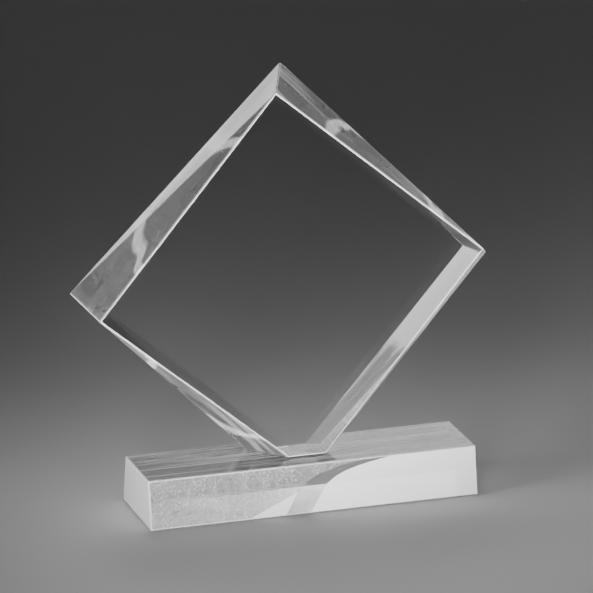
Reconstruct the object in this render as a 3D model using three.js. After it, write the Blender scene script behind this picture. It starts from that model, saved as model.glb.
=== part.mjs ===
// Clear award: a thick square plate standing on one corner, on a long clear base block.
//
// The plate is a full square at its girdle, a little way in front of its back. Its front and back are
// smaller squares, turned a few degrees. So between the girdle and each face, every side of the plate
// is two facets that taper in opposite directions and meet in a fold, which runs from a girdle corner
// to the next corner of that face. Behind the girdle the facets are shallow.
// The plate's lowest corner is cut off level, and a clear bond film joins it to the block's top.
//
// Units are millimetres, +Z is up, +X runs along the base and -Y faces the viewer of the award.
// The origin is the centre of the base's underside.

import * as THREE from 'three';
import { ConvexGeometry } from 'three/addons/geometries/ConvexGeometry.js';

// Driving dimensions
const SHEET_THICKNESS = 25;        // the plate and the base are cut from one sheet
const PLATE_SIDE = 157;            // side of the plate's girdle square
const GIRDLE_DEPTH = 22;           // from the plate's front back to its girdle
const FRONT_CORNER_STEP = 13;      // how far along a girdle side each front corner lies
const BACK_CORNER_STEP = 10.7;     // the same for the back corners
const BACK_SHRINK = 0.93;          // the back corners are then drawn in towards the centre
const PLATE_CENTRE_HEIGHT = 117.5; // centre of the plate above the underside
const PLATE_OFFSET = -7;           // the plate stands this far off the middle of the base, along X
const PLATE_SET_BACK = 3.5;        // and its mid thickness this far behind the middle, along Y
const BASE_LENGTH = 175;           // the base's ends are square
const BASE_TOP_DEPTH = 40;
const BASE_BOTTOM_DEPTH = 49;      // the base's front and back lean out towards the underside
const ARRIS_WIDTH = 0.6;           // width of the polished flat that breaks every edge
const BOND_THICKNESS = 0.4;
const BOND_CLEARANCE = 0.05;       // between the bond film and each face that it joins
const BOND_MARGIN = 1.0;           // the film stops this far inside the plate's foot

// Derived sizes
const PLATE_HALF_DIAGONAL = PLATE_SIDE / Math.SQRT2;
const BOND_BOTTOM = SHEET_THICKNESS + BOND_CLEARANCE;
const FOOT_HEIGHT = BOND_BOTTOM + BOND_THICKNESS + BOND_CLEARANCE;
const FOOT_DROP = PLATE_CENTRE_HEIGHT - FOOT_HEIGHT;   // from the plate's centre down to its foot

const COINCIDENT = 1e-6;           // points closer than this are one point

// A plane is stored with its normal pointing out of the solid, which holds the points
// whose dot product with the normal is at most the plane's reach.
function planeFacing(normal, reach) {
  return { normal: normal.clone().normalize(), reach };
}

// The plane through three points, turned so that the point inside is behind it.
function planeThrough(a, b, c, inside) {
  const normal = b.clone().sub(a).cross(c.clone().sub(a)).normalize();
  if (normal.dot(inside) > normal.dot(a)) {
    normal.negate();
  }
  return planeFacing(normal, normal.dot(a));
}

// The point that three planes share, or null where two of them are parallel.
function meetingPoint(p, q, r) {
  const qr = q.normal.clone().cross(r.normal);
  const rp = r.normal.clone().cross(p.normal);
  const pq = p.normal.clone().cross(q.normal);
  const volume = p.normal.dot(qr);
  if (Math.abs(volume) < COINCIDENT) {
    return null;
  }
  return qr.multiplyScalar(p.reach)
    .add(rp.multiplyScalar(q.reach))
    .add(pq.multiplyScalar(r.reach))
    .divideScalar(volume);
}

// The corners of the convex solid behind all the planes.
function cornersOf(planes) {
  const corners = [];
  for (let i = 0; i < planes.length; i += 1) {
    for (let j = i + 1; j < planes.length; j += 1) {
      for (let k = j + 1; k < planes.length; k += 1) {
        const point = meetingPoint(planes[i], planes[j], planes[k]);
        const isCorner = point !== null
          && planes.every((plane) => plane.normal.dot(point) < plane.reach + COINCIDENT)
          && corners.every((corner) => corner.distanceTo(point) > COINCIDENT);
        if (isCorner) {
          corners.push(point);
        }
      }
    }
  }
  return corners;
}

// One more plane for each edge of the solid, which cuts that edge back to a flat of the given width.
function arrisPlanes(faces, width) {
  const corners = cornersOf(faces);
  const liesOn = (plane) => corners.filter(
    (corner) => Math.abs(plane.normal.dot(corner) - plane.reach) < 2 * COINCIDENT,
  );
  const flats = [];
  faces.forEach((first, i) => {
    faces.slice(i + 1).forEach((second) => {
      const onSecond = liesOn(second);
      const shared = liesOn(first).filter((corner) => onSecond.includes(corner));
      if (shared.length === 2) {
        const normal = first.normal.clone().add(second.normal).normalize();
        const halfTurn = Math.acos(normal.dot(first.normal));
        const depth = (width / 2) * Math.tan(halfTurn);
        flats.push(planeFacing(normal, normal.dot(shared[0]) - depth));
      }
    });
  });
  return flats;
}

function eased(faces) {
  return new ConvexGeometry(cornersOf([...faces, ...arrisPlanes(faces, ARRIS_WIDTH)]));
}

// Girdle corners of the plate, clockwise from the left one as the award is viewed, about its centre.
function girdleCorners() {
  return [180, 90, 0, 270].map((degrees) => {
    const angle = THREE.MathUtils.degToRad(degrees);
    return new THREE.Vector3(
      PLATE_HALF_DIAGONAL * Math.cos(angle),
      GIRDLE_DEPTH - SHEET_THICKNESS / 2,
      PLATE_HALF_DIAGONAL * Math.sin(angle),
    );
  });
}

// Corners of the front or back face. Each is a girdle corner moved along the side that joins it to
// the corner before, then drawn in towards the plate's centre line and set at the face's depth.
function faceCorners(girdle, step, shrink, depth) {
  return girdle.map((corner, i) => {
    const before = girdle[(i + 3) % 4];
    const point = corner.clone().lerp(before, step / PLATE_SIDE).multiplyScalar(shrink);
    point.y = depth;
    return point;
  });
}

// The plate before its lowest corner is cut off.
function plateSides() {
  const centre = new THREE.Vector3(0, 0, 0);
  const girdle = girdleCorners();
  const front = faceCorners(girdle, FRONT_CORNER_STEP, 1, -SHEET_THICKNESS / 2);
  const back = faceCorners(girdle, BACK_CORNER_STEP, BACK_SHRINK, SHEET_THICKNESS / 2);
  const planes = [
    planeFacing(new THREE.Vector3(0, -1, 0), SHEET_THICKNESS / 2),
    planeFacing(new THREE.Vector3(0, 1, 0), SHEET_THICKNESS / 2),
  ];
  [front, back].forEach((face) => {
    girdle.forEach((corner, i) => {
      const next = (i + 1) % 4;
      planes.push(planeThrough(corner, girdle[next], face[next], centre));
      planes.push(planeThrough(corner, face[next], face[i], centre));
    });
  });
  return planes;
}

function plateGeometry() {
  const foot = planeFacing(new THREE.Vector3(0, 0, -1), FOOT_DROP);
  return eased([...plateSides(), foot]);
}

function baseGeometry() {
  const lean = (BASE_BOTTOM_DEPTH - BASE_TOP_DEPTH) / 2 / SHEET_THICKNESS;
  const faces = [
    planeFacing(new THREE.Vector3(0, 0, 1), SHEET_THICKNESS),
    planeFacing(new THREE.Vector3(0, 0, -1), 0),
  ];
  [-1, 1].forEach((side) => {
    const normal = new THREE.Vector3(0, side, lean).normalize();
    const bottomEdge = new THREE.Vector3(0, side * BASE_BOTTOM_DEPTH / 2, 0);
    faces.push(planeFacing(new THREE.Vector3(side, 0, 0), BASE_LENGTH / 2));
    faces.push(planeFacing(normal, normal.dot(bottomEdge)));
  });
  return eased(faces);
}

// The film has the outline of the plate's foot, drawn in by the margin.
function bondGeometry() {
  const footLevel = (plane) => {
    const level = new THREE.Vector3(plane.normal.x, plane.normal.y, 0);
    const reach = (plane.reach + plane.normal.z * FOOT_DROP) / level.length();
    return planeFacing(level, reach - BOND_MARGIN);
  };
  const outline = plateSides().filter((plane) => plane.normal.z < COINCIDENT).map(footLevel);
  const film = [
    ...outline,
    planeFacing(new THREE.Vector3(0, 0, 1), BOND_THICKNESS),
    planeFacing(new THREE.Vector3(0, 0, -1), 0),
  ];
  return new ConvexGeometry(cornersOf(film));
}

function clearMaterial(roughness, opacity) {
  return new THREE.MeshStandardMaterial({
    color: 0xe9eded,
    roughness,
    metalness: 0,
    transparent: true,
    opacity,
  });
}

function namedMesh(name, geometry, material, height) {
  const mesh = new THREE.Mesh(geometry, material);
  mesh.name = name;
  mesh.position.z = height;
  return mesh;
}

const award = new THREE.Group();
const upright = new THREE.Group();
upright.position.set(PLATE_OFFSET, PLATE_SET_BACK, 0);
upright.add(namedMesh('diamond_plate', plateGeometry(), clearMaterial(0.03, 0.35), PLATE_CENTRE_HEIGHT));
upright.add(namedMesh('bond_film', bondGeometry(), clearMaterial(0.15, 0.5), BOND_BOTTOM));
award.add(upright);
award.add(namedMesh('base_block', baseGeometry(), clearMaterial(0.05, 0.35), 0));

export default award;
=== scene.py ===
import math

import bpy
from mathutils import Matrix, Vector

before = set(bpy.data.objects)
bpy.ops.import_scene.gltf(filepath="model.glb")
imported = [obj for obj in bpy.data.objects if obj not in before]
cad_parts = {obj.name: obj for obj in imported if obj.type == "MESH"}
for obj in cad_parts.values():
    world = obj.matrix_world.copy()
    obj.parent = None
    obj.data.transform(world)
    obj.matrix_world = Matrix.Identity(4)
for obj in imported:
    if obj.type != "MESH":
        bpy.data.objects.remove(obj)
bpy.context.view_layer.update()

# Lengths are in metres and angles in degrees. The award faces -Y.

# Camera
CAMERA_AZIMUTH = -18.08
CAMERA_ELEVATION = 18.2
CAMERA_DISTANCE = 3.036
CAMERA_LENS = 364.0
CAMERA_AIM = Vector((-0.0024, 0.0, 0.1082))

# Stage
FLOOR_RADIUS = 1.6
FLOOR_DROP = 0.0004
FLOOR_GREY = 0.62
FLOOR_ROUGHNESS = 0.8

# Sines of heights above the horizon, each with the grey of the studio at that height
STUDIO_GREYS = ((0.0, 0.8), (0.20, 2.2), (0.38, 2.2), (0.45, 0.03), (0.8, 0.02))
PANEL_EDGE = 18.1         # the white and grey panels meet here, round from the Y axis
PANEL_EDGE_BLUR = 0.006
GREY_PANEL = 0.2          # brightness of the grey panels against the white ones
FRONT_PANELS = 0.3        # and of the front panels against those behind the award
BESIDE_PANELS = 0.03      # and of the studio to the left and right

# Clear cast acrylic. Haze is the share of light that a surface scatters as white.
ACRYLIC_IOR = 1.49
EDGE_REACH = 0.0008       # the edges look white as far as this from the edge
# White of the satin edges, partly a painted highlight along them
EDGE_HAZE_AND_HIGHLIGHT = 0.95
EDGE_ROUGHNESS = 0.4

# Plate
PLATE_CENTRE = (-0.007, 0.0035, 0.1175)
BEVEL_SHADE = 0.5          # painted shade: how far the front bevels are greyed from white towards black
UPPER_LEFT_SHADE = 0.74    # and the one at the upper left, greyed more as it faces the front light
RING_INSIDE = 0.085       # a painted reflection: the pale ring round the centre that crosses the facets
RING_OUTSIDE = 0.089
RING_BLUR = 0.001
RING_WANDER = 0.008
WHITE_BEVEL_FOOT = 0.080  # the bevel at the lower right is whole white, a painted highlight, from about this height up
WHITE_BEVEL_BLUR = 0.004
WHITE_BEVEL_ROUGHNESS = 0.6
# Whiteness of the painted highlight on that bevel
WHITE_BEVEL_HIGHLIGHT = 0.6

# Base block
BLOCK_HEIGHT = 0.025
# The curve, band and wedge lay out a painted reflection on the block's front: white right of the
# curve and in the wedge, clear in the band.
CURVE_START = -0.0025     # where the curve on the front leaves the bottom edge
CURVE_LEAN = 0.015        # how far it leans to the right over the block's height
CURVE_FLARE = 0.034       # and how much further it flares near the top
CURVE_BLUR = 0.0004
BAND_WIDTH = 0.0135       # the clear band along the left of the curve
WEDGE_START = -0.034      # the white wedge of painted reflection to the left of the band, from the curve
WEDGE_LEAN = 0.045
WEDGE_BLUR = 0.0005       # of the wedge's outline and of the band's left edge
# Whiteness of the painted reflection in the wedge and on the right part
WEDGE_REFLECTION = 0.7
RIGHT_PART_REFLECTION = 0.85
END_HAZE = 0.7
END_ROUGHNESS = 0.2
SCRATCH_HAZE = 0.85


class Nodes:
    """Adds and links shader nodes in one material or world tree."""

    def __init__(self, tree):
        self.tree = tree

    def feed(self, node, socket, value):
        target = node.inputs[socket]
        if isinstance(value, bpy.types.NodeSocket):
            self.tree.links.new(value, target)
        else:
            target.default_value = value

    def add(self, kind, settings=None, **inputs):
        node = self.tree.nodes.new(kind)
        for name, value in (settings or {}).items():
            setattr(node, name, value)
        for name, value in inputs.items():
            self.feed(node, name.replace("_", " "), value)
        return node

    def math(self, operation, first, *others):
        """One math operation, applied to all the values in turn."""
        for other in others or (0.0,):
            node = self.add("ShaderNodeMath", {"operation": operation})
            self.feed(node, 0, first)
            self.feed(node, 1, other)
            first = node.outputs[0]
        return first

    def product(self, *values):
        return self.math("MULTIPLY", *values)

    def total(self, *values):
        return self.math("ADD", *values)

    def highest(self, *values):
        return self.math("MAXIMUM", *values)

    def magnitude(self, value):
        return self.math("ABSOLUTE", value)

    def opposite(self, mask):
        return self.math("SUBTRACT", 1.0, mask)

    def compare_vectors(self, operation, first, second):
        node = self.add("ShaderNodeVectorMath", {"operation": operation})
        self.feed(node, 0, first)
        self.feed(node, 1, second)
        return node.outputs["Value"]

    def remap(self, value, low, high, to_low, to_high):
        node = self.add("ShaderNodeMapRange", {"clamp": True}, Value=value)
        self.feed(node, "From Min", low)
        self.feed(node, "From Max", high)
        self.feed(node, "To Min", to_low)
        self.feed(node, "To Max", to_high)
        return node.outputs["Result"]

    def place(self):
        return self.add("ShaderNodeTexCoord").outputs["Object"]

    def axes(self, vector):
        split = self.add("ShaderNodeSeparateXYZ", Vector=vector)
        return split.outputs["X"], split.outputs["Y"], split.outputs["Z"]

    def outward_normal(self):
        """The surface normal pointing out of the piece, also where a ray meets it from inside."""
        geometry = self.add("ShaderNodeNewGeometry")
        flip = self.remap(geometry.outputs["Backfacing"], 0.0, 1.0, 1.0, -1.0)
        scaled = self.add("ShaderNodeVectorMath", {"operation": "SCALE"},
                          Vector=geometry.outputs["True Normal"], Scale=flip)
        return scaled.outputs["Vector"]

    def edge_mask(self):
        """1 along the edges, where a rounded normal turns from the true one, and 0 on the faces."""
        true = self.add("ShaderNodeNewGeometry").outputs["True Normal"]
        rounded = self.add("ShaderNodeBevel", {"samples": 6}, Radius=EDGE_REACH).outputs["Normal"]
        likeness = self.magnitude(self.compare_vectors("DOT_PRODUCT", rounded, true))
        return self.remap(likeness, 0.975, 0.998, 1.0, 0.0)

    def noise(self, turn, along, across, detail, distortion=0.0):
        """Noise drawn out along a line in the XZ plane; along and across are features per metre."""
        turned = self.add("ShaderNodeMapping", {"vector_type": "POINT"}, Vector=self.place(),
                          Rotation=(0.0, math.radians(turn), 0.0))
        sized = self.add("ShaderNodeMapping", {"vector_type": "POINT"},
                         Vector=turned.outputs["Vector"], Scale=(along, across, across))
        noise = self.add("ShaderNodeTexNoise", Vector=sized.outputs["Vector"], Scale=1.0,
                         Detail=detail, Distortion=distortion)
        return noise.outputs["Fac"]

    def bump(self, height, distance, strength, under=None):
        node = self.add("ShaderNodeBump", Height=height, Distance=distance, Strength=strength)
        if under is not None:
            self.feed(node, "Normal", under)
        return node.outputs["Normal"]


def acrylic(name):
    material = bpy.data.materials.new(name)
    material.use_nodes = True
    shader = material.node_tree.nodes["Principled BSDF"]
    shader.inputs["IOR"].default_value = ACRYLIC_IOR
    shader.inputs["Transmission Weight"].default_value = 1.0
    return material, shader, Nodes(material.node_tree)


def plate_masks(nodes):
    """Masks of the plate's kinds of surface, told apart by the way each faces."""
    east, north, up = nodes.axes(nodes.outward_normal())
    squareness = nodes.magnitude(north)
    rightward = nodes.remap(east, 0.0, 0.02, 0.0, 1.0)
    downward = nodes.remap(up, -0.02, 0.0, 1.0, 0.0)
    oblique = nodes.remap(squareness, 0.985, 0.995, 1.0, 0.0)
    behind = nodes.remap(north, 0.05, 0.1, 0.0, 1.0)
    facet = nodes.product(oblique, nodes.opposite(behind))
    wall = nodes.remap(squareness, 0.03, 0.06, 1.0, 0.0)
    return {
        "facet": facet,
        "wall": wall,
        "bevel": nodes.product(facet, nodes.opposite(wall)),
        "white_bevel": nodes.product(oblique, behind, rightward, downward),
        "upper_left": nodes.product(nodes.opposite(rightward), nodes.opposite(downward)),
        "edge": nodes.edge_mask(),
    }


def reflection_ring_mask(nodes, flow):
    """1 on a wandering ring round the plate's centre, where a reflection is painted on the facets.
    """
    radius = nodes.compare_vectors("DISTANCE", nodes.place(), PLATE_CENTRE)
    radius = nodes.total(radius, nodes.product(flow, RING_WANDER))
    return nodes.product(
        nodes.remap(radius, RING_INSIDE, RING_INSIDE + RING_BLUR, 0.0, 1.0),
        nodes.remap(radius, RING_OUTSIDE - RING_BLUR, RING_OUTSIDE, 1.0, 0.0),
    )


def plate_acrylic():
    """Polished front and back, hazy facets greyed by painted shade and crossed by a painted
    reflection ring, a white bevel behind the lower right side whose whole white upper part is a
    painted highlight.
    """
    material, shader, nodes = acrylic("plate_acrylic")
    mask = plate_masks(nodes)
    flow = nodes.noise(45, 14.0, 50.0, 1.0, 1.0)
    grain = nodes.noise(45, 900.0, 120.0, 4.0)
    speckle = nodes.noise(0, 1300.0, 1300.0, 2.0)
    rising_lines = nodes.remap(nodes.noise(-45, 420.0, 10.0, 2.0), 0.54, 0.64, 0.0, 1.0)
    falling_lines = nodes.remap(nodes.noise(45, 420.0, 10.0, 2.0), 0.54, 0.64, 0.0, 1.0)
    # Painted reflection: the ring lightens the painted shade and adds white haze.
    ring = reflection_ring_mask(nodes, flow)

    # Painted shade: the front bevels are greyed, the upper left one most, and less where the
    # painted reflection ring crosses them.
    painted_shade = nodes.remap(mask["upper_left"], 0.0, 1.0, BEVEL_SHADE, UPPER_LEFT_SHADE)
    painted_shade = nodes.product(mask["bevel"], painted_shade, nodes.remap(ring, 0.0, 1.0, 1.0, 0.6))
    grey = nodes.opposite(painted_shade)
    colour = nodes.add("ShaderNodeCombineColor", Red=grey, Green=grey, Blue=grey)
    nodes.feed(shader, "Base Color", colour.outputs["Color"])

    roughness = nodes.total(
        nodes.product(nodes.remap(flow, 0.35, 0.7, 0.26, 0.36), mask["facet"]),
        nodes.product(mask["white_bevel"], WHITE_BEVEL_ROUGHNESS),
        nodes.product(mask["edge"], EDGE_ROUGHNESS),
    )
    nodes.feed(shader, "Roughness", roughness)

    relief = nodes.bump(nodes.product(flow, mask["facet"]), 0.002, 0.4)
    relief = nodes.bump(nodes.product(grain, mask["facet"]), 0.0001, 0.5, relief)
    nodes.feed(shader, "Normal", relief)

    facet_haze = nodes.total(
        nodes.remap(grain, 0.35, 0.75, 0.0, 0.06),
        nodes.remap(speckle, 0.45, 0.7, 0.0, 0.08),
        nodes.remap(speckle, 0.66, 0.70, 0.0, 0.4),
        # painted reflection along the ring
        nodes.product(ring, nodes.remap(mask["upper_left"], 0.0, 1.0, 0.35, 0.15)),
        nodes.product(falling_lines, nodes.opposite(mask["upper_left"]), 0.3),
    )
    haze = nodes.total(
        nodes.product(mask["facet"], facet_haze),
        nodes.product(mask["wall"], nodes.remap(rising_lines, 0.0, 1.0, 0.36, 0.75)),
    )
    height = nodes.axes(nodes.place())[2]
    ragged_height = nodes.total(height, nodes.product(flow, 0.02))
    # Painted highlight: the bevel behind the lower right is whole white above WHITE_BEVEL_FOOT; its
    # speckle and lines are frosting.
    highlight_zone = nodes.remap(ragged_height, WHITE_BEVEL_FOOT, WHITE_BEVEL_FOOT + WHITE_BEVEL_BLUR,
                        0.0, 1.0)
    white = nodes.total(
        nodes.product(highlight_zone, WHITE_BEVEL_HIGHLIGHT),
        nodes.remap(speckle, 0.4, 0.65, 0.05, 0.3),
    )
    white = nodes.highest(white, nodes.product(rising_lines, 0.7))
    haze = nodes.highest(
        haze,
        # painted highlight and frosting on the bevel behind the lower right
        nodes.product(mask["white_bevel"], white),
        # satin edges, whitened partly as a painted highlight
        nodes.product(mask["edge"], EDGE_HAZE_AND_HIGHLIGHT),
    )
    nodes.feed(shader, "Transmission Weight", nodes.opposite(haze))
    return material


def front_reflection_and_mottle(nodes, forward):
    """The painted reflection on the block's front, a white wedge and a white right part, and how
    mottled the rest is.
    """
    x, _, z = nodes.axes(nodes.place())
    rise = nodes.remap(z, 0.0, BLOCK_HEIGHT, 0.0, 1.0)
    flare = nodes.product(nodes.math("POWER", rise, 6.0), CURVE_FLARE)
    curve = nodes.total(nodes.product(rise, CURVE_LEAN), flare)
    past = nodes.math("SUBTRACT", x, nodes.total(curve, CURVE_START))
    # Painted reflection: the white right part and the wedge.
    reflection_right_part = nodes.product(nodes.remap(past, -CURVE_BLUR, CURVE_BLUR, 0.0, 1.0), forward)
    slant = nodes.math("SUBTRACT", past, nodes.product(rise, WEDGE_LEAN))
    wedge = nodes.product(
        nodes.remap(slant, WEDGE_START, WEDGE_START + WEDGE_BLUR, 0.0, 1.0),
        nodes.remap(past, -BAND_WIDTH, -BAND_WIDTH + WEDGE_BLUR, 1.0, 0.0),
        forward,
    )
    mottled = nodes.remap(past, -BAND_WIDTH, -BAND_WIDTH + WEDGE_BLUR, 1.0, 0.3)
    return wedge, reflection_right_part, mottled


def base_acrylic():
    """Scratched top, mottled front and back with a painted reflection in front as a white wedge and
    right part, and milky ends.
    """
    material, shader, nodes = acrylic("base_acrylic")
    east, north, up = nodes.axes(nodes.outward_normal())
    end = nodes.remap(nodes.magnitude(east), 0.7, 0.9, 0.0, 1.0)
    side = nodes.remap(nodes.magnitude(north), 0.7, 0.9, 0.0, 1.0)
    forward = nodes.remap(north, -0.9, -0.7, 1.0, 0.0)
    top = nodes.remap(up, 0.7, 0.9, 0.0, 1.0)
    edge = nodes.edge_mask()
    wedge, reflection_right_part, mottled = front_reflection_and_mottle(nodes, forward)
    side = nodes.product(side, mottled)

    waves = nodes.noise(35, 8.0, 22.0, 0.0, 0.6)
    streaks = nodes.noise(90, 10.0, 260.0, 2.0)
    grain = nodes.noise(0, 1100.0, 1100.0, 2.0)
    brushed = nodes.noise(0, 60.0, 400.0, 3.0)
    scratches = nodes.remap(nodes.noise(0, 9.0, 620.0, 1.0), 0.60, 0.64, 0.0, 1.0)

    roughness = nodes.total(
        nodes.product(side, nodes.remap(grain, 0.35, 0.7, 0.08, 0.24)),
        nodes.product(end, END_ROUGHNESS),
        nodes.product(edge, EDGE_ROUGHNESS),
    )
    nodes.feed(shader, "Roughness", roughness)

    relief = nodes.bump(waves, 0.002, 0.4)
    relief = nodes.bump(nodes.product(streaks, side), 0.00004, 0.4, relief)
    nodes.feed(shader, "Normal", relief)

    side_haze = nodes.product(
        nodes.remap(grain, 0.35, 0.7, 0.08, 0.36),
        side,
        nodes.remap(streaks, 0.3, 0.7, 0.7, 1.1),
    )
    haze = nodes.highest(
        side_haze,
        nodes.product(end, END_HAZE),
        # painted reflection on the block's front
        nodes.product(reflection_right_part, RIGHT_PART_REFLECTION),
        nodes.product(wedge, WEDGE_REFLECTION),
        nodes.product(top, nodes.remap(brushed, 0.4, 0.7, 0.0, 0.3)),
        nodes.product(top, scratches, SCRATCH_HAZE),
        # satin edges, whitened partly as a painted highlight
        nodes.product(edge, EDGE_HAZE_AND_HIGHLIGHT),
    )
    nodes.feed(shader, "Transmission Weight", nodes.opposite(haze))
    return material


def bond_acrylic():
    """A cast film of clear cement, a little cloudy and uneven."""
    material, shader, nodes = acrylic("bond_acrylic")
    cloud = nodes.noise(0, 180.0, 180.0, 3.0, 0.5)
    nodes.feed(shader, "Roughness", nodes.remap(cloud, 0.4, 0.7, 0.05, 0.3))
    nodes.feed(shader, "Normal", nodes.bump(cloud, 0.0004, 0.3))
    return material


def make_camera():
    azimuth = math.radians(CAMERA_AZIMUTH)
    elevation = math.radians(CAMERA_ELEVATION)
    backward = Vector((
        math.sin(azimuth) * math.cos(elevation),
        -math.cos(azimuth) * math.cos(elevation),
        math.sin(elevation),
    ))
    data = bpy.data.cameras.new("camera")
    data.lens = CAMERA_LENS
    data.sensor_width = 36.0
    data.clip_end = 50.0
    camera = bpy.data.objects.new("camera", data)
    camera.location = CAMERA_AIM + backward * CAMERA_DISTANCE
    camera.rotation_euler = (-backward).to_track_quat("-Z", "Y").to_euler()
    bpy.context.scene.collection.objects.link(camera)
    bpy.context.scene.camera = camera


def make_floor():
    bpy.ops.mesh.primitive_circle_add(vertices=128, radius=FLOOR_RADIUS, fill_type="NGON")
    floor = bpy.context.object
    floor.name = "floor"
    floor.location.z = -FLOOR_DROP
    material = bpy.data.materials.new("floor")
    material.use_nodes = True
    shader = material.node_tree.nodes["Principled BSDF"]
    shader.inputs["Base Color"].default_value = (FLOOR_GREY, FLOOR_GREY, FLOOR_GREY, 1)
    shader.inputs["Roughness"].default_value = FLOOR_ROUGHNESS
    floor.data.materials.append(material)


def make_softbox(name, place, target, width, height, power, spread):
    """A soft panel light whose beam keeps within the spread, an angle in degrees."""
    data = bpy.data.lights.new(name, "AREA")
    data.shape = "RECTANGLE"
    data.size = width
    data.size_y = height
    data.energy = power
    data.spread = math.radians(spread)
    light = bpy.data.objects.new(name, data)
    light.location = place
    light.rotation_euler = (Vector(target) - Vector(place)).to_track_quat("-Z", "Y").to_euler()
    light.visible_camera = False
    bpy.context.scene.collection.objects.link(light)


def make_lights():
    # From behind and above, onto the floor in front of the award
    make_softbox("key", place=(0.07, 0.16, 0.56), target=(0.07, -0.20, 0),
                 width=0.44, height=0.44, power=0.18, spread=44.0)
    # From the left
    make_softbox("fill", place=(-0.75, -0.10, 0.30), target=(0, 0, 0.12),
                 width=0.40, height=0.40, power=0.4, spread=50.0)
    # From the left front, so low that it lights the hazy facets more than the floor
    make_softbox("front", place=(-0.30, -0.60, 0.035), target=(0, 0, 0.175),
                 width=0.25, height=0.06, power=2.0, spread=40.0)
    # A weaker one from the right front, aimed at the upper right side
    make_softbox("right", place=(0.62, -0.36, 0.06), target=(0.05, 0, 0.20),
                 width=0.20, height=0.08, power=0.45, spread=30.0)


def make_studio():
    """Two soft panels stand behind the award and two in front, up to about 25 degrees high.

    Of each pair one is white and one grey, and they meet at PANEL_EDGE.
    """
    world = bpy.data.worlds.new("studio")
    bpy.context.scene.world = world
    world.use_nodes = True
    background = world.node_tree.nodes["Background"]
    nodes = Nodes(world.node_tree)
    direction = nodes.add("ShaderNodeTexCoord").outputs["Generated"]
    east, north, up = nodes.axes(direction)
    ramp = nodes.add("ShaderNodeValToRGB", Fac=up)
    stops = ramp.color_ramp.elements
    stops.remove(stops[1])
    for height, grey in STUDIO_GREYS:
        stop = stops[0] if height == 0.0 else stops.new(height)
        stop.color = (grey, grey, grey, 1)
    edge = math.radians(PANEL_EDGE)
    across = nodes.math("SUBTRACT",
                        nodes.product(east, math.cos(edge)),
                        nodes.product(north, math.sin(edge)))
    across = nodes.product(across, nodes.math("SIGN", north))
    brightness = nodes.product(
        nodes.remap(across, -PANEL_EDGE_BLUR, PANEL_EDGE_BLUR, GREY_PANEL, 1.0),
        nodes.remap(nodes.magnitude(north), 0.68, 0.88, BESIDE_PANELS, 1.0),
        nodes.remap(north, -0.1, 0.1, FRONT_PANELS, 1.0),
    )
    panels = nodes.add("ShaderNodeMix", {"data_type": "RGBA", "blend_type": "MULTIPLY"},
                       Factor=1.0, A=ramp.outputs["Color"], B=brightness)
    nodes.feed(background, "Color", panels.outputs["Result"])


def dress_award():
    materials = {
        "diamond_plate": plate_acrylic(),
        "base_block": base_acrylic(),
        "bond_film": bond_acrylic(),
    }
    for name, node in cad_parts.items():
        node.data.materials.clear()
        node.data.materials.append(materials[name])


make_camera()
make_floor()
make_studio()
make_lights()
dress_award()
